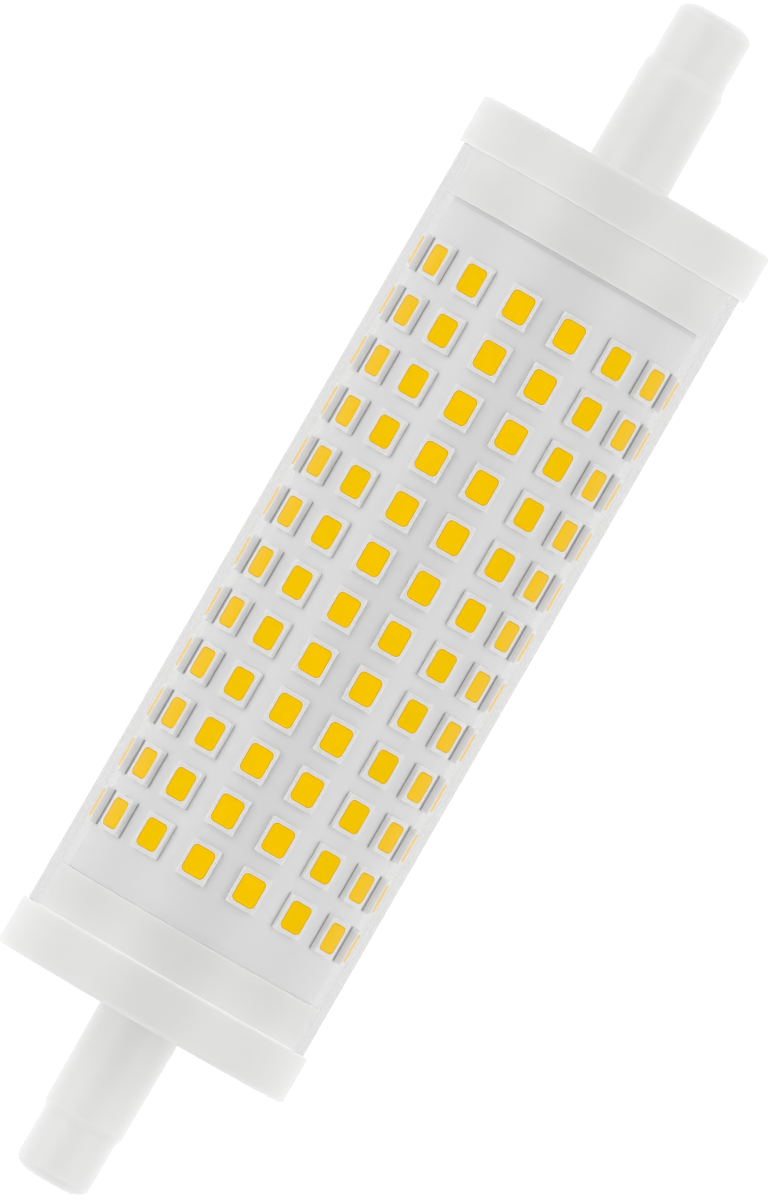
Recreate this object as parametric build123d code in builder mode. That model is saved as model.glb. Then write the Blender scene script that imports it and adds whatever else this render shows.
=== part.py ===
"""Double-ended linear LED lamp with a clear cover and a recessed contact at each end.

The lamp's axis is X, +Z is the middle of its front, and the origin is the middle of the lamp.
All sizes are in millimetres. The right-hand half is drawn and the left-hand half mirrors it.
"""

import os
from math import cos, floor, pi, radians, sin, sqrt, tan

from build123d import *

# Overall sizes
overall_length = 118.0
cap_face_spacing = 85.6
tube_outer_diameter = 27.9
tube_wall = 0.75

# End caps: rim, skirt inside the tube and end plate
rim_diameter = 28.8
rim_width = 4.6
rim_edge_chamfer = 0.4
skirt_clearance = 0.08
skirt_length = 4.15
end_plate_thickness = 2.2

# Contact stubs
stub_diameter = 7.77
stub_tip_diameter = 7.1
stub_tip_length = 5.65
stub_step_slope = 0.8
stub_end_crown = 0.38
stub_end_round = 0.5
recess_diameter = 4.0
recess_depth = 1.9
stub_bore_diameter = 3.6

# Contacts
contact_length = 6.0
contact_fit = 0.05

# Core tube, wrapped LED board and LEDs
led_tube_clearance = 0.17
core_skirt_clearance = 0.06
core_end_clearance = 0.1
core_wall = 0.8
board_thickness = 0.35
board_bond = 0.02
board_end_gap = 0.25
board_seam = 0.3
board_end_margin = 3.9
led_length = 3.5
led_width = 2.8
led_height = 0.6
led_row_pitch = 5.08
led_column_spacing = 4.8
window_length = 2.75
window_width = 2.3
window_height = 0.05

# Driver board, the folded insulating card round it and the forks that hold it
card_panel_width = 8.2
card_thickness = 0.3
card_clearance = 0.1
card_fork_gap = 0.4
driver_board_thickness = 1.2
driver_board_edge_clearance = 0.1
driver_board_end_gap = 3.0
fork_width = 2.0
fork_prong = 1.2
fork_grip = 3.0
fork_slot_clearance = 0.1
fork_core_clearance = 0.3

# Driver components
component_end_margin = 10.6
component_row_margin = 5.36
fuse_length = 6.1
fuse_width = 2.7
fuse_height = 2.7
varistor_length = 8.0
varistor_width = 6.0
varistor_height = 3.4
rectifier_length = 4.6
rectifier_width = 3.9
rectifier_height = 1.6
film_capacitor_length = 9.5
film_capacitor_width = 5.0
film_capacitor_headroom = 0.2
reservoir_diameter = 6.3
reservoir_headroom = 1.0
choke_length = 9.4
choke_depth = 4.6
choke_headroom = 1.2
choke_yoke = 1.6
choke_leg = 2.8
choke_side_leg = 1.3
choke_winding_clearance = 0.1
choke_winding_overhang = 2.0
chip_length = 4.9
chip_width = 3.9
chip_height = 1.5
diode_length = 4.3
diode_width = 2.6
diode_height = 2.2
sense_resistor_length = 3.2
sense_resistor_width = 1.6
sense_resistor_height = 0.55
sense_resistor_margin = 3.86

# Leads
mains_lead_diameter = 1.2
mains_lead_pad_length = 6.0
led_link_width = 1.6
led_link_thickness = 0.3
led_link_offset = 1.7
led_link_foot = 1.0
led_link_slot_clearance = 0.2

# Places along the axis
stub_end = overall_length / 2
cap_face = cap_face_spacing / 2
rim_step = cap_face - rim_width
skirt_end = rim_step - skirt_length
plate_inside = cap_face - end_plate_thickness
recess_floor = stub_end - recess_depth
contact_back = recess_floor - contact_length
core_end = plate_inside - core_end_clearance
board_end = skirt_end - board_end_gap

# Radii, worked out from the tube's bore inwards
tube_radius = tube_outer_diameter / 2
bore_radius = tube_radius - tube_wall
skirt_radius = bore_radius - skirt_clearance
led_corner_radius = bore_radius - led_tube_clearance
led_top_radius = sqrt(led_corner_radius**2 - (led_width / 2) ** 2)
board_radius = led_top_radius - led_height - window_height
board_bore_radius = board_radius - board_thickness
core_radius = board_bore_radius - board_bond
core_bore_radius = core_radius - core_wall
socket_radius = core_radius + core_skirt_clearance
card_corner_radius = core_bore_radius - card_clearance
card_sides = 2 * floor(pi * card_corner_radius / card_panel_width)
card_half_angle = pi / card_sides
card_inside_radius = card_corner_radius - card_thickness / cos(card_half_angle)
card_panel_radius = card_inside_radius * cos(card_half_angle)

# The LED pattern fills the board: rows along the axis, an even number of columns round it
led_rows = floor((2 * (board_end - board_end_margin) - led_length) / led_row_pitch) + 1
led_columns = 2 * floor(pi * board_radius / led_column_spacing)
last_led_end = (led_rows - 1) * led_row_pitch / 2 + led_length / 2

# The mains leads run along the axis and lie on the driver board, whose edges fit the card's corners
driver_top = -mains_lead_diameter / 2
driver_underside = driver_top - driver_board_thickness
driver_end = plate_inside - driver_board_end_gap
driver_edge = card_inside_radius + driver_underside * tan(card_half_angle)
driver_half_width = driver_edge - driver_board_edge_clearance
fork_tip = driver_end - fork_grip
fork_low = driver_underside - fork_slot_clearance - fork_prong
fork_high = driver_top + fork_slot_clearance + fork_prong
fork_outside = sqrt((core_bore_radius - fork_core_clearance) ** 2 - fork_low**2)
card_end = fork_tip - card_fork_gap
station_spacing = (driver_end - component_end_margin) / 2
component_row_offset = driver_half_width - component_row_margin
sense_resistor_offset = driver_half_width - sense_resistor_margin
led_link_x = (last_led_end + board_end) / 2
led_slot_width = led_link_width + 2 * led_link_slot_clearance
led_slot_height = led_link_thickness + 2 * led_link_slot_clearance
led_slots = ((led_link_x, led_link_offset), (led_link_x, -led_link_offset))


def led_plane(column: int, radius: float) -> Plane:
    """Plane that touches the given radius at one LED column, facing outwards."""
    angle = radians((column + 0.5) * 360 / led_columns)
    outwards = (0, sin(angle), cos(angle))
    return Plane(origin=[radius * part for part in outwards], x_dir=(1, 0, 0), z_dir=outwards)


def driver_plane(station: int, row: int) -> Plane:
    """Plane on the driver board's top face, at a station along it and a row across it."""
    return Plane(origin=(station * station_spacing, row * component_row_offset, driver_top))


def height_under_card(reach: float, headroom: float) -> float:
    """Height of a component whose far edge is at the given reach, with headroom left under the card."""
    return sqrt(card_panel_radius**2 - reach**2) - driver_top - headroom


# End caps: each is one moulding with stub, rim and skirt, hollow for the core's end
with BuildPart() as end_caps:
    with BuildSketch(Plane.XZ):
        with BuildLine():
            stub_tip_radius = stub_tip_diameter / 2
            tip_start = stub_end - stub_tip_length
            tip_end = stub_end - stub_end_crown - stub_end_round
            Polyline(
                (stub_end, recess_diameter / 2),
                (stub_end - stub_end_crown, stub_tip_radius - stub_end_round),
                (tip_end, stub_tip_radius),
                (tip_start, stub_tip_radius),
                (tip_start - stub_step_slope, stub_diameter / 2),
                (cap_face, stub_diameter / 2),
                (cap_face, rim_diameter / 2 - rim_edge_chamfer),
                (cap_face - rim_edge_chamfer, rim_diameter / 2),
                (rim_step, rim_diameter / 2),
                (rim_step, skirt_radius),
                (skirt_end, skirt_radius),
                (skirt_end, socket_radius),
                (plate_inside, socket_radius),
                (plate_inside, stub_bore_diameter / 2),
                (recess_floor, stub_bore_diameter / 2),
                (recess_floor, recess_diameter / 2),
                close=True,
            )
        make_face()
    revolve(axis=Axis.X)
    fork_middle = (fork_low + fork_high) / 2
    fork_place = fork_outside - fork_width / 2
    with BuildSketch(Plane.YZ.offset(plate_inside)):
        with Locations((fork_place, fork_middle), (-fork_place, fork_middle)):
            Rectangle(fork_width, fork_high - fork_low)
    extrude(amount=fork_tip - plate_inside)
    with BuildSketch(Plane.YZ.offset(driver_end + fork_slot_clearance)):
        with Locations((0, (driver_top + driver_underside) / 2)):
            Rectangle(2 * fork_outside, driver_board_thickness + 2 * fork_slot_clearance)
    extrude(amount=-(fork_grip + fork_slot_clearance), mode=Mode.SUBTRACT)
    mirror(about=Plane.YZ)
end_caps.part.label = "end_caps"

# Contacts: a plated pin in each stub's bore, its face at the bottom of the recess
with BuildPart() as contact_right:
    with BuildSketch(Plane.YZ.offset(recess_floor)):
        Circle(stub_bore_diameter / 2 - contact_fit)
    extrude(amount=-contact_length)
contact_right.part.label = "contact_right"

with BuildPart() as contact_left:
    mirror(contact_right.part, about=Plane.YZ)
contact_left.part.label = "contact_left"

# Clear cover tube, from rim to rim
with BuildPart() as cover_tube:
    with BuildSketch(Plane.YZ):
        Circle(tube_radius)
        Circle(bore_radius, mode=Mode.SUBTRACT)
    extrude(amount=rim_step, both=True)
cover_tube.part.label = "cover_tube"

# Core tube with the two slots for the LED links at its back
with BuildPart() as core_tube:
    with BuildSketch(Plane.YZ):
        Circle(core_radius)
        Circle(core_bore_radius, mode=Mode.SUBTRACT)
    extrude(amount=core_end, both=True)
    with BuildSketch(Plane.XY):
        with Locations(*led_slots):
            Rectangle(led_slot_width, led_slot_height)
    extrude(amount=-core_radius, mode=Mode.SUBTRACT)
core_tube.part.label = "core_tube"

# LED board wrapped round the core, with its seam and the link slots at the back
with BuildPart() as led_board:
    with BuildSketch(Plane.YZ):
        Circle(board_radius)
        Circle(board_bore_radius, mode=Mode.SUBTRACT)
        with Locations((0, -board_radius / 2)):
            Rectangle(board_seam, board_radius, mode=Mode.SUBTRACT)
    extrude(amount=board_end, both=True)
    with BuildSketch(Plane.XY):
        with Locations(*led_slots):
            Rectangle(led_slot_width, led_slot_height)
    extrude(amount=-board_radius, mode=Mode.SUBTRACT)
led_board.part.label = "led_board"

# LED housings and their phosphor windows, one flat package at each place of the pattern
with BuildPart() as led_packages:
    for column in range(led_columns):
        with BuildSketch(led_plane(column, board_radius)):
            with GridLocations(led_row_pitch, 0, led_rows, 1):
                Rectangle(led_length, led_width)
    extrude(amount=led_height)
led_packages.part.label = "led_packages"

with BuildPart() as led_phosphors:
    for column in range(led_columns):
        with BuildSketch(led_plane(column, board_radius + led_height)):
            with GridLocations(led_row_pitch, 0, led_rows, 1):
                Rectangle(window_length, window_width)
    extrude(amount=window_height)
led_phosphors.part.label = "led_phosphors"

# Insulating card folded into a tube, with its corners against the core's bore
with BuildPart() as insulating_card:
    with BuildSketch(Plane.YZ):
        RegularPolygon(card_corner_radius, card_sides)
        RegularPolygon(card_inside_radius, card_sides, mode=Mode.SUBTRACT)
    extrude(amount=card_end, both=True)
    with BuildSketch(Plane.XY):
        with Locations(*led_slots):
            Rectangle(led_slot_width, led_slot_height)
    extrude(amount=-card_corner_radius, mode=Mode.SUBTRACT)
insulating_card.part.label = "insulating_card"

# Driver board
with BuildPart() as driver_board:
    with BuildSketch(Plane.XY.offset(driver_underside)):
        Rectangle(2 * driver_end, 2 * driver_half_width)
    extrude(amount=driver_board_thickness)
driver_board.part.label = "driver_board"

# Mains input: fuse, varistor and bridge rectifier
with BuildPart() as input_fuse:
    with BuildSketch(driver_plane(-2, 1)):
        Rectangle(fuse_length, fuse_width)
    extrude(amount=fuse_height)
input_fuse.part.label = "input_fuse"

with BuildPart() as varistor:
    with BuildSketch(driver_plane(-2, -1)):
        Rectangle(varistor_length, varistor_width)
    extrude(amount=varistor_height)
varistor.part.label = "varistor"

with BuildPart() as bridge_rectifier:
    with BuildSketch(driver_plane(-1, -1)):
        Rectangle(rectifier_length, rectifier_width)
    extrude(amount=rectifier_height)
bridge_rectifier.part.label = "bridge_rectifier"

# Capacitors
with BuildPart() as film_capacitor:
    with BuildSketch(driver_plane(-1, 1)):
        Rectangle(film_capacitor_length, film_capacitor_width)
    film_capacitor_reach = component_row_offset + film_capacitor_width / 2
    extrude(amount=height_under_card(film_capacitor_reach, film_capacitor_headroom))
film_capacitor.part.label = "film_capacitor"

with BuildPart() as reservoir_capacitor:
    with BuildSketch(driver_plane(0, 0)):
        Circle(reservoir_diameter / 2)
    extrude(amount=height_under_card(reservoir_diameter / 2, reservoir_headroom))
reservoir_capacitor.part.label = "reservoir_capacitor"

# Choke: ferrite core with two windows, and the winding round its middle leg
choke_place = driver_plane(1, 0)
choke_height = height_under_card(choke_depth / 2, choke_headroom)
window_half = choke_length / 2 - choke_side_leg
winding_height = choke_height - 2 * choke_yoke - 2 * choke_winding_clearance
with BuildPart() as choke_core:
    with BuildSketch(choke_place):
        Rectangle(choke_length, choke_depth)
    extrude(amount=choke_height)
    with BuildSketch(Plane.XZ.offset(-choke_place.origin.Y)):
        window_place = (window_half + choke_leg / 2) / 2
        for side in (-1, 1):
            with Locations((choke_place.origin.X + side * window_place, driver_top + choke_height / 2)):
                Rectangle(window_half - choke_leg / 2, choke_height - 2 * choke_yoke)
    extrude(amount=choke_depth, both=True, mode=Mode.SUBTRACT)
choke_core.part.label = "choke_core"

with BuildPart() as choke_winding:
    with BuildSketch(choke_place.offset(choke_yoke + choke_winding_clearance)):
        outer_length = 2 * (window_half - choke_winding_clearance)
        Rectangle(outer_length, choke_depth + 2 * choke_winding_overhang)
        Rectangle(
            choke_leg + 2 * choke_winding_clearance,
            choke_depth + 2 * choke_winding_clearance,
            mode=Mode.SUBTRACT,
        )
    extrude(amount=winding_height)
choke_winding.part.label = "choke_winding"

# Current control: driver chip, diode and the pair of sense resistors
with BuildPart() as driver_chip:
    with BuildSketch(driver_plane(2, 1)):
        Rectangle(chip_length, chip_width)
    extrude(amount=chip_height)
driver_chip.part.label = "driver_chip"

with BuildPart() as freewheel_diode:
    with BuildSketch(driver_plane(2, -1)):
        Rectangle(diode_length, diode_width)
    extrude(amount=diode_height)
freewheel_diode.part.label = "freewheel_diode"

with BuildPart() as sense_resistors:
    with BuildSketch(driver_plane(0, 0)):
        with Locations((0, sense_resistor_offset), (0, -sense_resistor_offset)):
            Rectangle(sense_resistor_length, sense_resistor_width)
    extrude(amount=sense_resistor_height)
sense_resistors.part.label = "sense_resistors"

# Mains leads: straight from each contact through the stub and on to the driver board
with BuildPart() as mains_lead_right:
    with BuildSketch(Plane.YZ.offset(contact_back)):
        Circle(mains_lead_diameter / 2)
    extrude(amount=driver_end - mains_lead_pad_length - contact_back)
mains_lead_right.part.label = "mains_lead_right"

with BuildPart() as mains_lead_left:
    mirror(mains_lead_right.part, about=Plane.YZ)
mains_lead_left.part.label = "mains_lead_left"

# LED links: flat strips from the driver board through card, core and LED board, each with a foot
with BuildPart() as led_link_positive:
    with BuildSketch(Plane.YZ.offset(led_link_x)):
        with BuildLine():
            link_inside = led_link_offset - led_link_thickness / 2
            link_outside = led_link_offset + led_link_thickness / 2
            foot_end = link_outside + led_link_foot
            foot_underside = -board_radius - led_link_thickness
            Polyline(
                (link_inside, driver_underside),
                (link_outside, driver_underside),
                (link_outside, -board_radius),
                (foot_end, -board_radius),
                (foot_end, foot_underside),
                (link_inside, foot_underside),
                close=True,
            )
        make_face()
    extrude(amount=led_link_width / 2, both=True)
led_link_positive.part.label = "led_link_positive"

with BuildPart() as led_link_negative:
    mirror(led_link_positive.part, about=Plane.XZ)
led_link_negative.part.label = "led_link_negative"

os.makedirs("parts", exist_ok=True)
for piece in (
    end_caps,
    contact_left,
    contact_right,
    cover_tube,
    core_tube,
    led_board,
    led_packages,
    led_phosphors,
    insulating_card,
    driver_board,
    input_fuse,
    varistor,
    bridge_rectifier,
    film_capacitor,
    reservoir_capacitor,
    choke_core,
    choke_winding,
    driver_chip,
    freewheel_diode,
    sense_resistors,
    mains_lead_left,
    mains_lead_right,
    led_link_positive,
    led_link_negative,
):
    export_step(piece.part, f"parts/{piece.part.label}.step")
print("LED rows", led_rows, "columns", led_columns)
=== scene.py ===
"""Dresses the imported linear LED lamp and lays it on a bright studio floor.

The lamp lies along X with the middle of its front up. Every length is in metres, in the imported
model's own frame, and the sizes that the model's nodes give are read from them.
"""

import logging
import math
from collections.abc import Iterable, Sequence
from dataclasses import dataclass, field, replace
from enum import Enum, IntEnum
from typing import ClassVar, NamedTuple

import bpy
from mathutils import Matrix, Vector

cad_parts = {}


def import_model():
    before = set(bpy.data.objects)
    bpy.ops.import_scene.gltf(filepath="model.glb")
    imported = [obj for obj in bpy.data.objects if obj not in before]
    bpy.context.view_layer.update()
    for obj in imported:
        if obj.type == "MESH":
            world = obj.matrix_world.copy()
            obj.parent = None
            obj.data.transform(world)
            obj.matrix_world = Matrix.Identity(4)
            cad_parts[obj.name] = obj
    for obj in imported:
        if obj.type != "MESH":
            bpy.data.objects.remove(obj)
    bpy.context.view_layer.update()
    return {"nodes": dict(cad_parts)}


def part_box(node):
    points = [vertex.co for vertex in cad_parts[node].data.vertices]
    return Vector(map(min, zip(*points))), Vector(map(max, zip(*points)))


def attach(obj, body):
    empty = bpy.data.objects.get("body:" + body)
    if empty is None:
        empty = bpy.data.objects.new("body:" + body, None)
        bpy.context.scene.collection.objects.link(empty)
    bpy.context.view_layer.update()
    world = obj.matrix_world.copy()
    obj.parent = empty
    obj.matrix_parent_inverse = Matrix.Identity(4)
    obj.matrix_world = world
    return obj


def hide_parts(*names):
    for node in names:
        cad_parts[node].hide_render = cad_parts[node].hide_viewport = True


MM = 0.001
LAMP_BODY = "root"
ALONG = Vector((1, 0, 0))
WHITE = (1.0, 1.0, 1.0, 1.0)
LONGEST_SETBACK = 0.49  # share of an edge that the rounding at one of its ends may take

log = logging.getLogger("linear_led_bulb")

Colour = tuple[float, float, float]
Socket = bpy.types.NodeSocket
Material = bpy.types.Material
Piece = bpy.types.Object


class End(Enum):
    """The two ends of the lamp, as signs along X."""

    LEFT = -1
    RIGHT = 1


class Grain(Enum):
    """How a surface's fine relief runs, as the scale of its pattern along X, Y and Z."""

    EVEN = (1.0, 1.0, 1.0)
    DRAWN_ALONG = (0.04, 1.0, 1.0)


class Easing(Enum):
    """How a value goes from one end of a range to the other, by Blender's names."""

    STRAIGHT = "LINEAR"
    SOFT = "SMOOTHSTEP"


class CapSurface(IntEnum):
    """The surfaces of an end cap, in the order of their finishes."""

    RIM = 0
    SKIRT = 1
    STUB = 2
    WALL = 3


class BoardSurface(IntEnum):
    """The surfaces of the LED board, in the order of their finishes."""

    MASK = 0
    BASE = 1


class HousingSurface(IntEnum):
    """The surfaces of an LED's housing, in the order of their finishes."""

    HOUSING = 0
    CAVITY = 1
    LEADS_AND_PAINTED_SHADE = 2


class FillSurface(IntEnum):
    """The surfaces of an LED's phosphor fill, in the order of their finishes."""

    MIDDLE = 0
    EDGE = 1


# Meshes


@dataclass(frozen=True)
class Corner:
    """One corner of a turned profile.

    Attributes:
        along: Place along the lamp's axis.
        radius: Distance from the axis.
        rounding: Radius that the corner is rounded to.
        finish: Which of the piece's finishes the surface has from here to the next corner.
    """

    along: float
    radius: float
    rounding: float
    finish: int = 0

    def mirrored(self) -> "Corner":
        """Gives the same corner at the lamp's other end."""
        return replace(self, along=-self.along)


class ProfilePoint(NamedTuple):
    """One point of a rounded profile, with its outward normal and its finish."""

    place: Vector
    normal: Vector
    finish: int


@dataclass
class MeshDraft:
    """Vertices, faces, corner normals and finishes that grow into one mesh."""

    vertices: list[Vector] = field(default_factory=list)
    faces: list[tuple[int, ...]] = field(default_factory=list)
    normals: list[Vector] = field(default_factory=list)
    finishes: list[int] = field(default_factory=list)

    def add_face(self, corners: Sequence[int], normals: Sequence[Vector], finish: int = 0) -> None:
        """Adds one face.

        Args:
            corners: Its vertices, anticlockwise seen from outside.
            normals: The normal at each of them.
            finish: Which of the piece's finishes it has.
        """
        self.faces.append(tuple(corners))
        self.normals.extend(normals)
        self.finishes.append(int(finish))

    def add_flat_face(self, corners: Sequence[int], finish: int = 0) -> None:
        """Adds one face that is shaded flat.

        Args:
            corners: Its vertices, anticlockwise seen from outside.
            finish: Which of the piece's finishes it has.
        """
        first, second, third = (self.vertices[corner] for corner in corners[:3])
        normal = (second - first).cross(third - first).normalized()
        self.add_face(corners, [normal] * len(corners), finish)

    def add_turned(self, corners: Sequence[Corner], segments: int, steps: int = 6) -> None:
        """Turns a closed profile round X.

        Args:
            corners: The profile's corners, with the solid on the left of the line through them.
            segments: Number of straight pieces round the axis.
            steps: Number of straight pieces in each rounded corner.
        """
        profile = rounded_profile(corners, steps)
        count = len(profile)
        start = len(self.vertices)
        rings: list[list[Vector]] = []
        for segment in range(segments):
            angle = math.tau * segment / segments
            across = Vector((0, math.cos(angle), math.sin(angle)))
            self.vertices.extend(ALONG * spot.place.x + across * spot.place.y for spot in profile)
            rings.append([ALONG * spot.normal.x + across * spot.normal.y for spot in profile])
        for segment in range(segments):
            after = (segment + 1) % segments
            for index, spot in enumerate(profile):
                beyond = (index + 1) % count
                places = ((segment, index), (segment, beyond), (after, beyond), (after, index))
                self.add_face(
                    [start + ring * count + place for ring, place in places],
                    [rings[ring][place] for ring, place in places],
                    spot.finish,
                )

    def add_block(self, low: Vector, high: Vector) -> None:
        """Adds a flat-sided block.

        Args:
            low: Its lowest corner.
            high: Its highest corner.
        """
        start = len(self.vertices)
        for x in (low.x, high.x):
            for y in (low.y, high.y):
                self.vertices.extend(Vector((x, y, z)) for z in (low.z, high.z))
        sides = ((0, 1, 3, 2), (4, 6, 7, 5), (0, 4, 5, 1), (2, 3, 7, 6), (0, 2, 6, 4), (1, 5, 7, 3))
        for side in sides:
            self.add_flat_face([start + corner for corner in side])

    def add_loops(
        self, loops: Sequence[Sequence[Vector]], finishes: Sequence[int], open_start: bool = False
    ) -> None:
        """Skins a row of loops with the same number of points and closes the last one.

        Args:
            loops: Closed loops, each anticlockwise seen from the side that the skin faces.
            finishes: Which of the piece's finishes the skin has from each loop on.
            open_start: Whether the first loop is left open.
        """
        start = len(self.vertices)
        count = len(loops[0])
        for loop in loops:
            self.vertices.extend(loop)
        if not open_start:
            self.add_flat_face([start + place for place in reversed(range(count))], finishes[0])
        for level in range(len(loops) - 1):
            below = start + level * count
            above = below + count
            for place in range(count):
                beyond = (place + 1) % count
                corners = [below + place, below + beyond, above + beyond, above + place]
                self.add_flat_face(corners, finishes[level])
        last = start + (len(loops) - 1) * count
        self.add_flat_face([last + place for place in range(count)], finishes[-1])

    def piece(self, name: str, materials: Sequence[Material], slot: str, *nodes: str) -> Piece:
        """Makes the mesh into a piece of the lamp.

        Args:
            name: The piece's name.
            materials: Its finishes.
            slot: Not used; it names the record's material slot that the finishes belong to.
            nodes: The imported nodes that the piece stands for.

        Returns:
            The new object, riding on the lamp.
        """
        mesh = bpy.data.meshes.new(name)
        mesh.from_pydata(self.vertices, [], self.faces)
        mesh.polygons.foreach_set("use_smooth", [True] * len(mesh.polygons))
        mesh.polygons.foreach_set("material_index", self.finishes)
        mesh.normals_split_custom_set(self.normals)
        for material in materials:
            mesh.materials.append(material)
        piece = bpy.data.objects.new(name, mesh)
        bpy.context.scene.collection.objects.link(piece)
        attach(piece, LAMP_BODY)
        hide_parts(*nodes)
        log.info("%s: %d faces, stands for %s", name, len(self.faces), ", ".join(nodes))
        return piece


def rounded_profile(corners: Sequence[Corner], steps: int) -> list[ProfilePoint]:
    """Rounds the corners of a closed profile.

    Args:
        corners: The profile's corners, with the solid on the left of the line through them. The
            line has to turn at each of them.
        steps: Number of straight pieces in each rounded corner.

    Returns:
        The points round the profile.
    """
    points = []
    for index, corner in enumerate(corners):
        before = corners[index - 1]
        after = corners[(index + 1) % len(corners)]
        here = Vector((corner.along, corner.radius))
        arriving = here - Vector((before.along, before.radius))
        leaving = Vector((after.along, after.radius)) - here
        turn = -arriving.angle_signed(leaving)
        setback = corner.rounding * math.tan(abs(turn) / 2)
        setback = min(setback, LONGEST_SETBACK * min(arriving.length, leaving.length))
        reach = setback / math.tan(turn / 2)
        entry = here - arriving.normalized() * setback
        first_normal = Vector((arriving.y, -arriving.x)).normalized()
        centre = entry - first_normal * reach
        for step in range(steps + 1):
            normal = Matrix.Rotation(turn * step / steps, 2) @ first_normal
            points.append(ProfilePoint(centre + normal * reach, normal, corner.finish))
    return points


def mirrored_profile(corners: Sequence[Corner]) -> list[Corner]:
    """Mirrors a profile to the lamp's other end, with each finish still on its own surface.

    Args:
        corners: The profile's corners.

    Returns:
        The mirrored corners, in the opposite order.
    """
    flipped = [corner.mirrored() for corner in reversed(corners)]
    finishes = [corner.finish for corner in flipped]
    following = [*finishes[1:], finishes[0]]
    return [replace(corner, finish=finish) for corner, finish in zip(flipped, following)]


def rounded_rectangle(length: float, width: float, rounding: float, steps: int) -> list[Vector]:
    """Lays out a rectangle with rounded corners, anticlockwise round the origin.

    Args:
        length: Size along local X.
        width: Size along local Y.
        rounding: Radius of the corners.
        steps: Number of straight pieces in each corner.

    Returns:
        The points of the outline.
    """
    outline = []
    for quarter, (along, across) in enumerate(((1, 1), (-1, 1), (-1, -1), (1, -1))):
        centre = Vector((along * (length / 2 - rounding), across * (width / 2 - rounding), 0))
        for step in range(steps + 1):
            angle = (quarter + step / steps) * math.pi / 2
            outline.append(centre + rounding * Vector((math.cos(angle), math.sin(angle), 0)))
    return outline


def raised(outline: Iterable[Vector], height: float) -> list[Vector]:
    """Lifts an outline along local Z."""
    return [point + Vector((0, 0, height)) for point in outline]


def moved(place: Matrix, loops: Iterable[Iterable[Vector]]) -> list[list[Vector]]:
    """Moves loops from their own base to a place on the lamp."""
    return [[place @ point for point in loop] for loop in loops]


def stops(low: float, high: float, fixed: Sequence[float], spacing: float) -> list[float]:
    """Divides a span into even steps that also stop at some fixed places.

    Args:
        low: Start of the span.
        high: End of the span.
        fixed: Places between them where a step has to end, in order.
        spacing: Longest step.

    Returns:
        All the places, in order.
    """
    knots = [low, *fixed, high]
    places = [low]
    for start, stop in zip(knots, knots[1:]):
        count = math.ceil((stop - start) / spacing)
        places.extend(start + (stop - start) * step / count for step in range(1, count + 1))
    return places


# Finishes


@dataclass
class NodeGraph:
    """A material's nodes, built round one Principled shader."""

    material: Material
    tree: bpy.types.NodeTree = field(init=False)
    output: bpy.types.Node = field(init=False)
    shader: bpy.types.Node = field(init=False)

    def __post_init__(self) -> None:
        """Clears the tree and adds the shader and its output."""
        self.material.use_nodes = True
        self.tree = self.material.node_tree
        self.tree.nodes.clear()
        self.output = self.tree.nodes.new("ShaderNodeOutputMaterial")
        self.shader = self.tree.nodes.new("ShaderNodeBsdfPrincipled")
        self.join(self.shader.outputs["BSDF"], self.output.inputs["Surface"])

    def add(self, kind: str, **values: object) -> bpy.types.Node:
        """Adds a node and sets its inputs by name, with underscores for spaces.

        Args:
            kind: Blender's name for the node.
            values: Input values.

        Returns:
            The new node.
        """
        node = self.tree.nodes.new(kind)
        for name, value in values.items():
            node.inputs[name.replace("_", " ")].default_value = value
        return node

    def set(self, name: str, value: object) -> None:
        """Sets one of the shader's own inputs."""
        self.shader.inputs[name].default_value = value

    def join(self, source: Socket, target: Socket) -> None:
        """Links an output to an input."""
        self.tree.links.new(source, target)

    def pattern_space(self, grain: Grain) -> Socket:
        """Stretches the lamp's own coordinates the way a grain runs.

        Args:
            grain: The grain.

        Returns:
            The stretched coordinates.
        """
        coordinates = self.add("ShaderNodeTexCoord")
        mapping = self.add("ShaderNodeMapping", Scale=grain.value)
        self.join(coordinates.outputs["Object"], mapping.inputs["Vector"])
        return mapping.outputs["Vector"]

    def noise(self, space: Socket, size: float, layers: float) -> Socket:
        """Adds a noise pattern.

        Args:
            space: Coordinates to use.
            size: Size of the pattern's features.
            layers: How many finer layers it has.

        Returns:
            The pattern's value from 0 to 1.
        """
        noise = self.add("ShaderNodeTexNoise", Scale=1 / size, Detail=layers)
        self.join(space, noise.inputs["Vector"])
        return noise.outputs["Fac"]

    def spread(self, value: Socket, low: float, high: float) -> Socket:
        """Maps a pattern's value to a range.

        Args:
            value: The pattern's value.
            low: What 0 becomes.
            high: What 1 becomes.

        Returns:
            The mapped value.
        """
        span = self.add("ShaderNodeMapRange", To_Min=low, To_Max=high)
        self.join(value, span.inputs["Value"])
        return span.outputs["Result"]

    def tinted(self, value: Socket, low: Colour, high: Colour) -> Socket:
        """Maps a pattern's value to a colour between two.

        Args:
            value: The pattern's value.
            low: The colour at 0.
            high: The colour at 1.

        Returns:
            The colour.
        """
        ramp = self.add("ShaderNodeValToRGB")
        ramp.color_ramp.elements[0].color = (*low, 1.0)
        ramp.color_ramp.elements[1].color = (*high, 1.0)
        self.join(value, ramp.inputs["Fac"])
        return ramp.outputs["Color"]

    def relief(self, value: Socket, depth: float) -> None:
        """Raises the surface by a pattern.

        Args:
            value: The pattern's value.
            depth: How far the surface is raised where it is 1.
        """
        bump = self.add("ShaderNodeBump", Strength=1.0, Distance=depth)
        self.join(value, bump.inputs["Height"])
        self.join(bump.outputs["Normal"], self.shader.inputs["Normal"])


def shaded(colour: Colour, share: float) -> Colour:
    """Scales a colour's brightness."""
    return tuple(min(1.0, part * share) for part in colour)


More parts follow.
